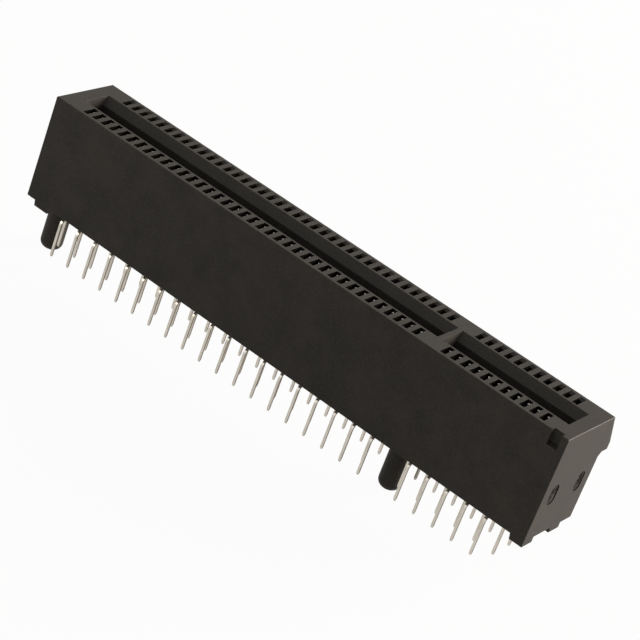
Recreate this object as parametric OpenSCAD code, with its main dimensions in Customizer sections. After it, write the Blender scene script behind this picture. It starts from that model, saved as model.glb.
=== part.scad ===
// Card edge connector for a circuit board: a moulded housing with two rows of spring contacts.
// X runs along the card slot with the short section on +X, -Y is the front, Z is up.
// The origin is on the key peg's axis, on the board surface that the feet stand on.

/* [Contact grid] */
// Distance between neighbouring contacts
pitch = 1.00; // [0.9:0.05:1.4]
// Contacts on each side of the short section
short_count = 11; // [4:1:16]
// Contacts on each side of the long section
long_count = 38; // [8:1:42]
// Distance between the two contacts beside the key
key_gap = 3.00; // [2.4:0.1:5]
// Housing length past the last contact at the short section's end
short_margin = 2.97; // [2.4:0.01:6]
// Housing length past the last contact at the long section's end
long_margin = 3.08; // [2.4:0.01:6]

/* [Card slot] */
// Width of the card slot
slot_w = 1.80; // [1.2:0.05:2.4]
// Depth of the card slot below the top face
slot_depth = 7.90; // [6.5:0.1:12]
// Slot length past the last contact at each end
slot_over = 1.50; // [0.6:0.02:1.6]
// Sideways reach and depth of the bevel along the slot's mouth
lead_in = 0.72; // [0.3:0.02:0.9]
// Reach of the mouth's bevel at the slot's two ends
end_lead = 0.12; // [0.04:0.02:0.6]
// Width of the key rib inside the slot
key_rib_w = 0.66; // [0.5:0.02:1.6]
// Width of the flat ridge on top of the key rib
key_ridge_w = 0.44; // [0.2:0.02:0.5]

/* [Housing walls] */
// Thickness of the bar between the slot's mouth and a window
bar_t = 0.21; // [0.15:0.01:0.5]
// Height of that bar
bar_h = 1.45; // [0.95:0.05:1.8]
// Length of a contact window across the housing
window_len = 1.54; // [1:0.02:2]
// Width of a contact window along the housing
window_w = 0.55; // [0.4:0.01:0.7]
// Reach of the slope at a window's outer end
slope_reach = 0.28; // [0.1:0.02:0.6]
// Depth of that slope
slope_depth = 0.22; // [0.1:0.02:0.5]
// Wall outside the windows
wall_t = 0.36; // [0.2:0.01:0.8]
// Solid floor below the slot, where the contacts are held
floor_t = 2.08; // [1.6:0.02:4]
// Bevel on the outer top edges
edge_bevel = 0.05; // [0.02:0.01:0.2]

/* [Feet and pegs] */
// Gap between the board and the housing's underside
standoff = 0.52; // [0.4:0.02:1]
// Length along the housing of a foot at the short end
foot_l = 1.37; // [0.8:0.01:2]
// Length along the housing of a foot at the long end
long_foot_l = 1.75; // [0.8:0.01:2.1]
// Length of a foot across the housing
foot_w = 1.58; // [0.8:0.01:2]
// Slope of a foot's free sides, measured at its sole
foot_draft = 0.10; // [0:0.01:0.2]
// Distance from the long end to its feet
foot_inset = 0.95; // [0.2:0.05:1.5]
// Distance of the short end's rear foot from the middle
foot_offset = 0.50; // [0:0.05:1.5]
// Diameter of a board peg
peg_d = 2.10; // [1.4:0.05:2.3]
// Length of a board peg below the board surface
peg_len = 5.00; // [2.5:0.1:7]
// Rounding at the tip of a board peg
peg_round = 0.75; // [0.2:0.05:1]
// Distance of the end peg from the last contact
end_peg_reach = 1.70; // [1.5:0.05:1.8]

/* [End details] */
// Width of the notch in the front top edge
notch_w = 1.00; // [0.4:0.05:1.4]
// Height of that notch
notch_h = 1.42; // [0.5:0.02:3]
// Depth of that notch
notch_d = 0.48; // [0.1:0.02:0.8]
// Distance of that notch from the short end
notch_inset = 0.64; // [0.3:0.02:1]
// Reach of the wedge lug behind the rear face
lug_out = 1.20; // [0.4:0.05:2]
// Length of the lug along the housing
lug_l = 1.20; // [0.6:0.05:2]
// Height of the lug's ramp
lug_ramp = 2.80; // [1.5:0.1:4]
// Height of the lug's flat below its ramp
lug_flat = 0.72; // [0.3:0.02:1.5]
// Reach and height of the gusset under the lug
lug_gusset = 0.35; // [0.1:0.05:0.4]
// Width of the long ejector marks on the short end
mark_w = 1.20; // [0.6:0.05:1.4]
// Height of the ejector marks
mark_h = 2.00; // [1.5:0.05:3]
// Depth of the ejector marks
mark_depth = 0.07; // [0.03:0.01:0.15]
// Distance of the ejector marks from the middle
mark_y = 2.05; // [1.5:0.05:2.3]
// Height of their middle above the board
mark_z = 4.65; // [2:0.05:8]

/* [Contacts] */
// Thickness of the contact strip
strip_t = 0.16; // [0.12:0.01:0.24]
// Distance of the inner solder tails from the middle
inner_row = 1.25; // [1.2:0.05:1.5]
// Distance of the outer solder tails from the middle
outer_row = 3.25; // [2.5:0.05:3.6]
// Length of a solder tail below the board surface
tail_len = 3.64; // [2:0.02:5]
// Width of a solder tail
tail_w = 0.24; // [0.18:0.01:0.45]
// Length of the taper at a tail's tip
taper_len = 0.25; // [0.1:0.05:1]
// Share of the tail's section left at its tip
tip_share = 0.70; // [0.3:0.05:0.9]
// Bend radius of a jogged tail at the outer row, at the middle of the strip
jog_bend = 0.55; // [0.3:0.05:0.6]
// Gap between the board and a jogged tail's level run
jog_gap = 0.06; // [0.02:0.02:0.12]
// Gap between two facing contact bows, at their corners before rounding
bow_gap = 1.04; // [0.6:0.02:1.3]
// Outward bulge of a spring beam between its root and its bow
belly = 0.32; // [0.1:0.02:0.5]
// Bend radius of the spring beam, at the middle of the strip
bend_r = 0.34; // [0.2:0.01:0.4]
// Play between a spring beam and its window, on each side
beam_play = 0.07; // [0.05:0.01:0.12]
// Clearance of a contact where the housing holds it
fit_gap = 0.02; // [0.01:0.005:0.04]
// Reach of a holding barb past the strip's edge
barb = 0.05; // [0.02:0.01:0.08]
// Height of a holding barb
barb_h = 0.45; // [0.2:0.05:0.6]
// Distance of a contact's upper end below the top face
tip_drop = 0.28; // [0.1:0.02:0.4]
// Width of a contact at its upper end
tip_w = 0.22; // [0.15:0.01:0.3]

/* [Hidden] */
$fn = 48;
// overlap that keeps a cut or a joined root clear of a shared face
cut = 0.2;
// straight pieces that stand for each bend of the strip and each rounded peg tip
bend_steps = 5;
round_steps = 8;

contact_count = short_count + long_count;
group_count = ceil(contact_count / 2);
sides = ["front", "rear"];

// positions along the housing
short_last = key_gap / 2 + (short_count - 1) * pitch;
long_last = -key_gap / 2 - (long_count - 1) * pitch;
short_end = short_last + short_margin;
long_end = long_last - long_margin;
end_peg_x = long_last - end_peg_reach;

// positions across the housing, from the middle outwards
slot_half = slot_w / 2;
mouth_half = slot_half + lead_in;
window_in = mouth_half + bar_t;
window_out = window_in + window_len;
body_half = window_out + wall_t;
chamber_out = window_out - slope_reach;

// heights above the board
under_z = standoff;
slot_floor_z = under_z + floor_t;
top_z = slot_floor_z + slot_depth;
bar_z = top_z - bar_h;

// pocket that holds a contact in the floor
hold_w = window_w - beam_play;
pocket_w = hold_w + 2 * (barb + fit_gap);
pocket_t = strip_t + 2 * fit_gap;
barb_rows = [0.35, 0.7];

// spring beam, as the middle line of the strip
beam_w = window_w - 2 * beam_play;
tip_y = window_in + fit_gap + strip_t / 2;
tip_z = top_z - tip_drop;
tip_bend_z = bar_z - strip_t;
bow_y = bow_gap / 2 + strip_t / 2;
bow_z = tip_bend_z - (tip_y - bow_y);
root_z = slot_floor_z + strip_t * 2;
belly_z = (root_z + bow_z) / 2;
jog_z = jog_gap + strip_t / 2;
jog_r = under_z - jog_z;
root_room = 0.35;

function two_digits(k) = str(k < 10 ? "0" : "", k);
function group_name(side, k) = str(side, "_contacts_", two_digits(k));

// contact 1 is next to the short end
function contact_x(n) = n <= short_count
    ? key_gap / 2 + (short_count - n) * pitch
    : -key_gap / 2 - (n - short_count - 1) * pitch;

// plane geometry of a bent strip
function unit(v) = v / norm(v);
function left_of(v) = [-v.y, v.x];
function turned(v, a) = [v.x * cos(a) - v.y * sin(a), v.x * sin(a) + v.y * cos(a)];
function reversed(list) = [for (i = [len(list) - 1 : -1 : 0]) list[i]];

// one edge of the strip round a bend at corner c, coming from p and leaving for n
function bend_edge(p, c, n, r, offset) =
    let (
        u = unit(c - p),
        v = unit(n - c),
        way = u.x * v.y < u.y * v.x ? -1 : 1,
        angle = acos(u * v),
        start = c - u * r * tan(angle / 2),
        middle = start + way * left_of(u) * r
    )
    [for (k = [0 : bend_steps])
        middle - way * left_of(turned(u, way * angle * k / bend_steps)) * (r - way * offset)];

// one whole edge of the strip; corners are [y, z, bend radius] from the tail's tip upwards
function strip_edge(corners, offset) =
    let (
        at = [for (c = corners) [c[0], c[1]]],
        last = len(at) - 1,
        tail_side = left_of(unit(at[1] - at[0])),
        top_side = left_of(unit(at[last] - at[last - 1]))
    )
    concat(
        [at[0] + tail_side * offset * tip_share],
        [at[0] + unit(at[1] - at[0]) * taper_len + tail_side * offset],
        [for (i = [1 : last - 1]) each bend_edge(at[i - 1], at[i], at[i + 1], corners[i][2], offset)],
        [at[last] + top_side * offset]
    );

// places a Y-Z outline as a bar along X, or an X-Z outline as a bar along Y
module along_x(length) {
    rotate([90, 0, 90]) linear_extrude(length, center = true) children();
}

module along_y(length) {
    rotate([90, 0, 0]) linear_extrude(length, center = true) children();
}

module both_sides() {
    children();
    mirror([0, 1, 0]) children();
}

// body with bevelled top edges
module body_block() {
    middle_x = (short_end + long_end) / 2;
    intersection() {
        translate([middle_x, 0, 0])
            along_x(short_end - long_end)
                polygon([
                    [-body_half, under_z],
                    [body_half, under_z],
                    [body_half, top_z - edge_bevel],
                    [body_half - edge_bevel, top_z],
                    [-body_half + edge_bevel, top_z],
                    [-body_half, top_z - edge_bevel]
                ]);
        along_y(2 * body_half)
            polygon([
                [long_end, under_z],
                [short_end, under_z],
                [short_end, top_z - edge_bevel],
                [short_end - edge_bevel, top_z],
                [long_end + edge_bevel, top_z],
                [long_end, top_z - edge_bevel]
            ]);
    }
}

// slot section from x0 to x1, with a bevelled mouth that reaches lead0 and lead1 past its ends
module slot_section(x0, x1, lead0, lead1) {
    translate([x0, -slot_half, slot_floor_z])
        cube([x1 - x0, slot_w, slot_depth + cut]);
    grow = (lead_in + cut) / lead_in;
    intersection() {
        translate([(x0 + x1) / 2, 0, 0])
            along_x(x1 - x0 + 2 * (lead0 + lead1) * grow)
                polygon([
                    [-slot_half, top_z - lead_in],
                    [slot_half, top_z - lead_in],
                    [slot_half + lead_in * grow, top_z + cut],
                    [-slot_half - lead_in * grow, top_z + cut]
                ]);
        along_y(4 * mouth_half)
            polygon([
                [x0, top_z - lead_in],
                [x1, top_z - lead_in],
                [x1 + lead1 * grow, top_z + cut],
                [x0 - lead0 * grow, top_z + cut]
            ]);
    }
}

module card_slot() {
    key_half = key_rib_w / 2;
    key_lead = (key_rib_w - key_ridge_w) / 2;
    slot_section(key_half, short_last + slot_over, key_lead, end_lead);
    slot_section(long_last - slot_over, -key_half, end_lead, key_lead);
}

// window, spring chamber and holding pocket of one contact on the rear side
module contact_cavity() {
    along_x(window_w)
        polygon([
            [slot_half - cut, slot_floor_z],
            [inner_row + strip_t / 2 + root_room, slot_floor_z],
            [chamber_out, bow_z],
            [chamber_out, top_z - slope_depth],
            [window_out, top_z],
            [window_out, top_z + cut],
            [window_in, top_z + cut],
            [window_in, bar_z],
            [slot_half - cut, bar_z]
        ]);
    translate([-pocket_w / 2, inner_row - pocket_t / 2, under_z - cut])
        cube([pocket_w, pocket_t, floor_t + 2 * cut]);
}

// foot between x0 and x1 whose ends lean in by draft0 and draft1 at the sole
module foot(x0, x1, y0, draft0, draft1) {
    translate([0, y0 + foot_w / 2, 0])
        along_y(foot_w)
            polygon([
                [x0 + draft0, 0],
                [x1 - draft1, 0],
                [x1, under_z],
                [x1, under_z + cut],
                [x0, under_z + cut],
                [x0, under_z]
            ]);
}

module feet() {
    short_x = short_end - foot_l;
    long_x = long_end + foot_inset;
    foot(short_x, short_end, -body_half, foot_draft, 0);
    foot(short_x, short_end, foot_offset, foot_draft, 0);
    foot(long_x, long_x + long_foot_l, -body_half, foot_draft, foot_draft);
    foot(long_x, long_x + long_foot_l, body_half - foot_w, foot_draft, foot_draft);
}

// round board peg with a rounded tip
module peg() {
    r = peg_d / 2;
    rotate_extrude()
        polygon(concat(
            [[0, under_z + cut], [0, -peg_len]],
            [for (k = [0 : round_steps])
                let (a = 90 * k / round_steps)
                [r - peg_round + peg_round * sin(a), -peg_len + peg_round - peg_round * cos(a)]],
            [[r, under_z + cut]]
        ));
}

// wedge lug on the rear face, flush with the short end
module rear_lug() {
    low_z = top_z - lug_ramp - lug_flat;
    translate([short_end - lug_l / 2, 0, 0])
        along_x(lug_l)
            polygon([
                [body_half - edge_bevel, top_z - edge_bevel],
                [body_half + lug_out, top_z - lug_ramp],
                [body_half + lug_out, low_z],
                [body_half + lug_gusset, low_z],
                [body_half, low_z - lug_gusset],
                [body_half - cut, low_z - lug_gusset],
                [body_half - cut, top_z - edge_bevel]
            ]);
}

module front_notch() {
    translate([short_end - notch_inset - notch_w, -body_half - cut, top_z - notch_h])
        cube([notch_w, notch_d + cut, notch_h + cut]);
}

// shallow recesses with round ends
module ejector_marks() {
    straight = mark_h - mark_w;
    both_sides()
        translate([short_end - mark_depth, mark_y, mark_z]) {
            for (side = [-1, 1])
                translate([0, 0, side * straight / 2])
                    rotate([0, 90, 0]) cylinder(d = mark_w, h = mark_depth + cut);
            translate([0, -mark_w / 2, -straight / 2])
                cube([mark_depth + cut, mark_w, straight]);
        }
}

module housing() {
    color("#2e2b2a")
        difference() {
            union() {
                body_block();
                feet();
                peg();
                translate([end_peg_x, 0, 0]) peg();
                rear_lug();
            }
            card_slot();
            for (n = [1 : contact_count])
                translate([contact_x(n), 0, 0]) both_sides() contact_cavity();
            front_notch();
            ejector_marks();
        }
}

// side view of a contact on the rear side; a jogged one steps out to the outer row
module contact_profile(jogged) {
    tail = jogged
        ? [[outer_row, -tail_len], [outer_row, jog_z, jog_bend], [inner_row, jog_z, jog_r]]
        : [[inner_row, -tail_len]];
    spring = [
        [inner_row, root_z, bend_r],
        [inner_row + belly, belly_z, bend_r],
        [bow_y, bow_z, bend_r],
        [tip_y, tip_bend_z, bend_r],
        [tip_y, tip_z]
    ];
    corners = concat(tail, spring);
    polygon(concat(strip_edge(corners, strip_t / 2), reversed(strip_edge(corners, -strip_t / 2))));
}

// front view of a contact: tapered tail, barbed holding section and narrowing beam
module contact_outline() {
    shoulder = (hold_w - tail_w) / 2;
    hold_z = under_z + shoulder;
    right = concat(
        [[tail_w / 2 * tip_share, -tail_len], [tail_w / 2, -tail_len + taper_len], [tail_w / 2, hold_z]],
        [[hold_w / 2, hold_z + shoulder]],
        [for (share = barb_rows)
            let (z = under_z + floor_t * share)
            each [[hold_w / 2, z - barb_h], [hold_w / 2 + barb, z - barb_h], [hold_w / 2, z]]],
        [[hold_w / 2, slot_floor_z], [beam_w / 2, root_z], [beam_w / 2, bow_z], [tip_w / 2, tip_z]]
    );
    polygon(concat(right, [for (p = reversed(right)) [-p.x, p.y]]));
}

module contact(n, side) {
    reach = 2 * (outer_row + pitch);
    translate([contact_x(n), 0, 0])
        mirror([0, side == "front" ? 1 : 0, 0])
            intersection() {
                along_x(pitch) contact_profile(n % 2 == 0);
                along_y(reach) contact_outline();
            }
}

// two neighbouring contacts of one side, an inner-row one and an outer-row one
module contact_group(side, k) {
    color("#cfc9bf")
        for (n = [2 * k - 1 : min(2 * k, contact_count)]) contact(n, side);
}

housing();
for (side = sides)
    for (k = [1 : group_count])
        contact_group(side, k);
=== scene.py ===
import math

import bpy
import bmesh
from mathutils import Matrix, Vector


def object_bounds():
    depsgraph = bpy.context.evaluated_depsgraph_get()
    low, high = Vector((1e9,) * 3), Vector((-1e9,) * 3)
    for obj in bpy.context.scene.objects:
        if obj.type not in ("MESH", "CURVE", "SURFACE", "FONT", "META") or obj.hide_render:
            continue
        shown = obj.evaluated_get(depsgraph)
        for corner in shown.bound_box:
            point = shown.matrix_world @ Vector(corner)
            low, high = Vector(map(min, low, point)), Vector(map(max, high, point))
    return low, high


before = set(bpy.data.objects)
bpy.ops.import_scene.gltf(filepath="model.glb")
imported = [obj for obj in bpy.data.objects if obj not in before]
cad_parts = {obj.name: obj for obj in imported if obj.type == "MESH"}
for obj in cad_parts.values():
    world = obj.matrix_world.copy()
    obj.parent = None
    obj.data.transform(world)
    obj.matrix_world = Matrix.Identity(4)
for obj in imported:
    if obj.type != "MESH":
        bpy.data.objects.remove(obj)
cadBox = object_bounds()
mm = 0.001
print("frame loaded with", len(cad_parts), "nodes")

white = (1, 1, 1)
noiseRange = (0.3, 0.7)   # where most noise values lie
maskEdge = 0.02 * mm      # soft border of a mask by place
mixSockets = {"RGBA": (6, 7, 2), "FLOAT": (2, 3, 0)}   # first, second and result of a mix node


# node helpers for the finishes and the world
def newFinish(name):
    finish = bpy.data.materials.new(name)
    finish.use_nodes = True
    tree = finish.node_tree
    return finish, tree, tree.nodes["Principled BSDF"]


def feed(tree, socket, value):
    if isinstance(value, bpy.types.NodeSocket):
        tree.links.new(value, socket)
    elif socket.type == "RGBA":
        socket.default_value = (*value, 1)
    else:
        socket.default_value = value


def addNode(tree, kind, **settings):
    node = tree.nodes.new(kind)
    for key, value in settings.items():
        if key in node.inputs:
            feed(tree, node.inputs[key], value)
        else:
            setattr(node, key, value)
    return node


def maths(tree, operation, *values, clamp=False):
    node = addNode(tree, "ShaderNodeMath", operation=operation, use_clamp=clamp)
    for socket, value in zip(node.inputs, values):
        feed(tree, socket, value)
    return node.outputs["Value"]


def combine(tree, operation, *values):
    total = values[0]
    for value in values[1:]:
        total = maths(tree, operation, total, value)
    return total


def vectorMaths(tree, operation, *vectors):
    node = addNode(tree, "ShaderNodeVectorMath", operation=operation)
    for socket, vector in zip(node.inputs, vectors):
        feed(tree, socket, vector)
    return node.outputs["Value"]


def axesOf(tree, vector):
    apart = addNode(tree, "ShaderNodeSeparateXYZ", Vector=vector)
    return [apart.outputs[axis] for axis in "XYZ"]


def noiseOn(tree, coordinates, scale, detail, stretch=(1, 1, 1)):
    turn = addNode(tree, "ShaderNodeMapping", Vector=coordinates, Scale=stretch)
    noise = addNode(tree, "ShaderNodeTexNoise", Vector=turn.outputs["Vector"], Scale=scale, Detail=detail)
    return noise.outputs["Fac"]


def spread(tree, value, results, limits=noiseRange):
    ranger = addNode(tree, "ShaderNodeMapRange", Value=value)
    for socket, number in zip(("From Min", "From Max", "To Min", "To Max"), (*limits, *results)):
        ranger.inputs[socket].default_value = number
    return ranger.outputs["Result"]


def inRange(tree, value, low, high):
    rise = spread(tree, value, (0, 1), (low - maskEdge, low))
    fall = spread(tree, value, (1, 0), (high, high + maskEdge))
    return combine(tree, "MULTIPLY", rise, fall)


def below(level, drops):
    return [level - drop for drop in reversed(drops)]


def mixOn(tree, kind, factor, first, second):
    firstPlace, secondPlace, result = mixSockets[kind]
    mix = addNode(tree, "ShaderNodeMix", data_type=kind, Factor=factor)
    feed(tree, mix.inputs[firstPlace], first)
    feed(tree, mix.inputs[secondPlace], second)
    return mix.outputs[result]


def addRelief(tree, shader, height, strength, depth):
    bump = addNode(tree, "ShaderNodeBump", Strength=strength, Distance=depth, Height=height)
    tree.links.new(bump.outputs["Normal"], shader.inputs["Normal"])


# black glass-filled plastic of the housing; noise scales are per metre
plastic = {
    "dark": (0.0325, 0.0294, 0.0253),
    "light": (0.0475, 0.0428, 0.0370),
    "speck": (0.066, 0.060, 0.053),
    # painted highlight along the edges, with some wear
    "edge": (0.080, 0.072, 0.063),
    "depth": (0.008, 0.0073, 0.0063),   # painted shade inside the contact windows
    "mark": (0.017, 0.0155, 0.0135),    # blotches of the ejector marks
    "cloudScale": 420,                  # broad mottling
    "cloudDetail": 5,
    "grainScale": 6000,                 # fine spark-eroded grain
    "grainDetail": 2,
    "speckShare": 0.4,
    "speckRange": (0.45, 0.75),
    "rough": (0.48, 0.60),
    "specular": 0.10,
    "relief": (0.25, 0.012 * mm),       # strength and depth of the grain
    "edgeRadius": 0.05 * mm,
    "edgeSamples": 4,
    "edgeRange": (0.75, 0.99),          # agreement of soft and flat normal
    "frontWindowY": (-3.36 * mm, -1.70 * mm),
    "rearWindowY": (1.70 * mm, 3.10 * mm),      # short of the sloped lips
    "windowX": (-39.2 * mm, 12.2 * mm),
    "windowDrop": (0.03 * mm, 9.0 * mm),        # below the top
    "markAt": (0, 2.05 * mm, 4.65 * mm),        # off the middle plane, above the board
    "markHalf": 1.00 * mm,
    "markDrop": (0.03 * mm, 0.12 * mm),         # inside the short end's face
    "markScale": 1900,
    "markDetail": 2,
    "markRange": (0.36, 0.50),
    "markFade": (0.5, 1.0),                     # weaker towards the lower end
    "markFadeZ": (3.7 * mm, 4.6 * mm),
}


# painted shade: a mask of the contact windows below the top, to darken them
def windowShadeMask(tree, place, look):
    along, across, up = axesOf(tree, place)
    rows = [inRange(tree, across, *look[row]) for row in ("frontWindowY", "rearWindowY")]
    return combine(tree, "MULTIPLY", combine(tree, "MAXIMUM", *rows),
                   inRange(tree, along, *look["windowX"]),
                   inRange(tree, up, *below(cadBox[1].z, look["windowDrop"])))


def markMask(tree, place, look):
    along, across, up = axesOf(tree, place)
    # one distance does for both marks, on either side of the middle plane
    folded = addNode(tree, "ShaderNodeCombineXYZ", Y=maths(tree, "ABSOLUTE", across), Z=up)
    away = vectorMaths(tree, "DISTANCE", folded.outputs["Vector"], look["markAt"])
    blotch = noiseOn(tree, place, look["markScale"], look["markDetail"])
    return combine(tree, "MULTIPLY",
                   inRange(tree, along, *below(cadBox[1].x, look["markDrop"])),
                   spread(tree, blotch, (0, 1), look["markRange"]),
                   spread(tree, up, look["markFade"], look["markFadeZ"]),
                   spread(tree, away, (1, 0), (look["markHalf"], look["markHalf"] + maskEdge)))


def blackPlastic(look):
    finish, tree, shader = newFinish("blackPlastic")
    place = addNode(tree, "ShaderNodeTexCoord").outputs["Object"]
    cloud = noiseOn(tree, place, look["cloudScale"], look["cloudDetail"])
    grain = noiseOn(tree, place, look["grainScale"], look["grainDetail"])
    specks = spread(tree, grain, (0, look["speckShare"]), look["speckRange"])
    windowShade = windowShadeMask(tree, place, look)
    mark = markMask(tree, place, look)
    # lighter edges, a painted highlight with some wear, where the soft normal leaves the flat one
    rounded = addNode(tree, "ShaderNodeBevel", samples=look["edgeSamples"], Radius=look["edgeRadius"])
    flat = addNode(tree, "ShaderNodeNewGeometry").outputs["True Normal"]
    agree = vectorMaths(tree, "DOT_PRODUCT", rounded.outputs["Normal"], flat)
    rimHighlight = spread(tree, agree, (1, 0), look["edgeRange"])
    colour = mixOn(tree, "RGBA", spread(tree, cloud, (0, 1)), look["dark"], look["light"])
    for mask, tint in ((specks, "speck"), (windowShade, "depth"), (mark, "mark"), (rimHighlight, "edge")):
        colour = mixOn(tree, "RGBA", mask, colour, look[tint])
    # no sheen on the blotches, and none in the windows, taken away there as painted shade
    shadeAndMarks = combine(tree, "MAXIMUM", windowShade, mark)
    feed(tree, shader.inputs["Base Color"], colour)
    feed(tree, shader.inputs["Roughness"], spread(tree, cloud, look["rough"]))
    feed(tree, shader.inputs["Specular IOR Level"], spread(tree, shadeAndMarks, (look["specular"], 0), (0, 1)))
    addRelief(tree, shader, grain, *look["relief"])
    return finish


# tin-plated strip of the contacts, with duller sheared sides, darkened further by painted shade
tin = {
    "bright": (0.74, 0.685, 0.600),
    "dull": (0.60, 0.553, 0.482),
    # sheared sides: duller bare metal, darkened further with painted shade
    "shearedAndShaded": (0.19, 0.161, 0.128),
    "shearedRange": (0.55, 0.8),        # how far a side faces along the housing
    "shearedRough": 0.45,
    "cloudScale": 900,
    "streakScale": 5000,
    "streak": (1, 1, 0.08),             # drawn out along the strip
    "detail": 3,
    "rough": (0.22, 0.38),
    "relief": (0.2, 0.006 * mm),        # strength and depth of the streaks
    "tip": (0.80, 0.77, 0.72),          # matt cut ends of the springs, lightened as a painted highlight
    "tipDrop": 0.34 * mm,               # below the housing's top
    "tipRough": 0.62,
    "shade": (0.075, 0.066, 0.055),     # painted shade on the springs in the windows, below their ends
    "shadeY": (1.70 * mm, 3.20 * mm),
    "shadeDrop": (0.36 * mm, 2.50 * mm),
}


def tinPlate(look):
    finish, tree, shader = newFinish("tinPlate")
    place = addNode(tree, "ShaderNodeTexCoord").outputs["Object"]
    streak = noiseOn(tree, place, look["streakScale"], look["detail"], look["streak"])
    cloud = noiseOn(tree, place, look["cloudScale"], look["detail"])
    normal = addNode(tree, "ShaderNodeNewGeometry").outputs["True Normal"]
    turned = maths(tree, "ABSOLUTE", axesOf(tree, normal)[0])
    shadedCutSide = spread(tree, turned, (0, 1), look["shearedRange"])
    across, up = axesOf(tree, place)[1:]
    top = cadBox[1].z
    # painted shade on the springs behind the window bars
    shade = combine(tree, "MULTIPLY",
                    inRange(tree, maths(tree, "ABSOLUTE", across), *look["shadeY"]),
                    inRange(tree, up, *below(top, look["shadeDrop"])))
    # the ends of the springs: matt, with a painted highlight in their colour
    tipLow = top - look["tipDrop"]
    tip = spread(tree, up, (0, 1), (tipLow - maskEdge, tipLow))
    colour = mixOn(tree, "RGBA", spread(tree, cloud, (0, 1)), look["bright"], look["dull"])
    for mask, tint in ((shadedCutSide, "shearedAndShaded"), (shade, "shade"), (tip, "tip")):
        colour = mixOn(tree, "RGBA", mask, colour, look[tint])
    rough = spread(tree, streak, look["rough"])
    for mask, value in ((shadedCutSide, "shearedRough"), (tip, "tipRough")):
        rough = mixOn(tree, "FLOAT", mask, rough, look[value])
    feed(tree, shader.inputs["Base Color"], colour)
    feed(tree, shader.inputs["Roughness"], rough)
    addRelief(tree, shader, streak, *look["relief"])
    shader.inputs["Metallic"].default_value = 1.0
    return finish


def dressNodes():
    black = blackPlastic(plastic)
    plate = tinPlate(tin)
    for name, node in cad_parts.items():
        node.data.materials.clear()
        node.data.materials.append(black if name == "housing" else plate)
    print("finishes set on", len(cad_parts), "nodes")


dressNodes()


def whiteRays(tree, cameraShare, glossShare):
    path = addNode(tree, "ShaderNodeLightPath")
    total = 0
    for ray, share in (("Camera", cameraShare), ("Glossy", glossShare), ("Transmission", glossShare)):
        total = maths(tree, "MULTIPLY_ADD", path.outputs["Is %s Ray" % ray], share, total, clamp=True)
    return total


# the camera and reflections see the white one, and the plain one lights the object
def showWhite(tree, plain, bright, output, cameraShare=1, glossShare=1):
    mix = addNode(tree, "ShaderNodeMixShader", Fac=whiteRays(tree, cameraShare, glossShare))
    tree.links.new(plain, mix.inputs[1])
    tree.links.new(bright, mix.inputs[2])
    tree.links.new(mix.outputs["Shader"], tree.nodes[output].inputs["Surface"])


# pale floor under the tips of the pegs; the shares are what stays white in the shadow
floor = {
    "half": 1.5,
    "cameraShare": 0.96,
    "glossShare": 0.66,
    "tint": (0.50, 0.50, 0.50),
    "rough": 0.9,
}


def paleFloor(look):
    sheet = bmesh.new()
    bmesh.ops.create_grid(sheet, x_segments=1, y_segments=1, size=look["half"])
    bmesh.ops.translate(sheet, verts=sheet.verts, vec=(0, 0, cadBox[0].z))
    mesh = bpy.data.meshes.new("floor")
    sheet.to_mesh(mesh)
    sheet.free()
    ground = bpy.data.objects.new("floor", mesh)
    bpy.context.scene.collection.objects.link(ground)
    finish, tree, shader = newFinish("paleFloor")
    feed(tree, shader.inputs["Base Color"], look["tint"])
    feed(tree, shader.inputs["Roughness"], look["rough"])
    glow = addNode(tree, "ShaderNodeEmission", Color=white, Strength=1.0)
    showWhite(tree, shader.outputs["BSDF"], glow.outputs["Emission"], "Material Output",
              look["cameraShare"], look["glossShare"])
    mesh.materials.append(finish)
    print("floor at", round(cadBox[0].z / mm, 2), "mm")


paleFloor(floor)


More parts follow.
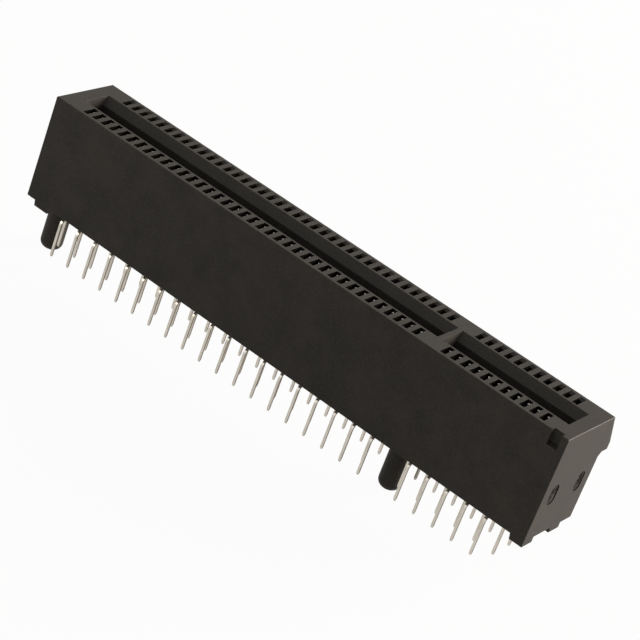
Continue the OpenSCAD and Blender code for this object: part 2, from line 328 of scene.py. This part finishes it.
# soft studio light: white surroundings, a warm box at the right rear,
# a weak fill at the left front and a plain box above
studio = {
    "ambient": 0.20,
    "boxes": {
        "rightBox": {"from": (0.53, 0.79, 0.29), "away": 0.45, "size": 0.30,
                     "watts": 5.5, "tint": (1.0, 0.905, 0.825)},
        "leftBox": {"from": (-0.73, -0.67, 0.11), "away": 0.112, "size": 0.05,
                    "watts": 0.020, "tint": (1.0, 0.95, 0.88)},
        "topBox": {"from": (-0.10, -0.12, 0.98), "away": 0.50, "size": 0.50,
                   "watts": 0.55, "tint": (1.0, 1.0, 1.0)},
    },
}


def whiteWorld(strength):
    world = bpy.data.worlds.new("studio")
    world.use_nodes = True
    bpy.context.scene.world = world
    tree = world.node_tree
    ambient = tree.nodes["Background"]
    feed(tree, ambient.inputs["Color"], white)
    feed(tree, ambient.inputs["Strength"], strength)
    bright = addNode(tree, "ShaderNodeBackground", Color=white, Strength=1.0)
    showWhite(tree, ambient.outputs["Background"], bright.outputs["Background"], "World Output")


def softBox(name, box):
    lamp = bpy.data.lights.new(name, "AREA")
    lamp.size = box["size"]
    lamp.energy = box["watts"]
    lamp.color = box["tint"]
    middle = (cadBox[0] + cadBox[1]) / 2
    way = Vector(box["from"]).normalized()
    holder = bpy.data.objects.new(name, lamp)
    holder.location = middle + way * box["away"]
    holder.rotation_euler = (-way).to_track_quat("-Z", "Y").to_euler()
    bpy.context.scene.collection.objects.link(holder)


def studioLight(look):
    whiteWorld(look["ambient"])
    for name, box in look["boxes"].items():
        softBox(name, box)
    print("studio light with", len(look["boxes"]), "soft boxes")


studioLight(studio)


# camera at the photograph's viewing angle, held with a roll
camera = {
    "place": (72.956 * mm, -160.602 * mm, 97.886 * mm),
    "aim": (-11.867 * mm, 0.495 * mm, 4.372 * mm),
    "roll": math.radians(20.82),
    "lens": 136.437,           # in mm, as the sensor's width is
    "sensorWidth": 36,
    "clip": (5 * mm, 10),
}


def addCamera(look):
    lens = bpy.data.cameras.new("camera")
    lens.sensor_width = look["sensorWidth"]
    lens.lens = look["lens"]
    lens.clip_start, lens.clip_end = look["clip"]
    holder = bpy.data.objects.new("camera", lens)
    bpy.context.scene.collection.objects.link(holder)
    place = Vector(look["place"])
    level = (Vector(look["aim"]) - place).to_track_quat("-Z", "Y").to_matrix().to_4x4()
    holder.matrix_world = Matrix.Translation(place) @ level @ Matrix.Rotation(look["roll"], 4, "Z")
    bpy.context.scene.camera = holder
    print("camera set")


addCamera(camera)
bpy.context.scene.view_settings.view_transform = "Standard"
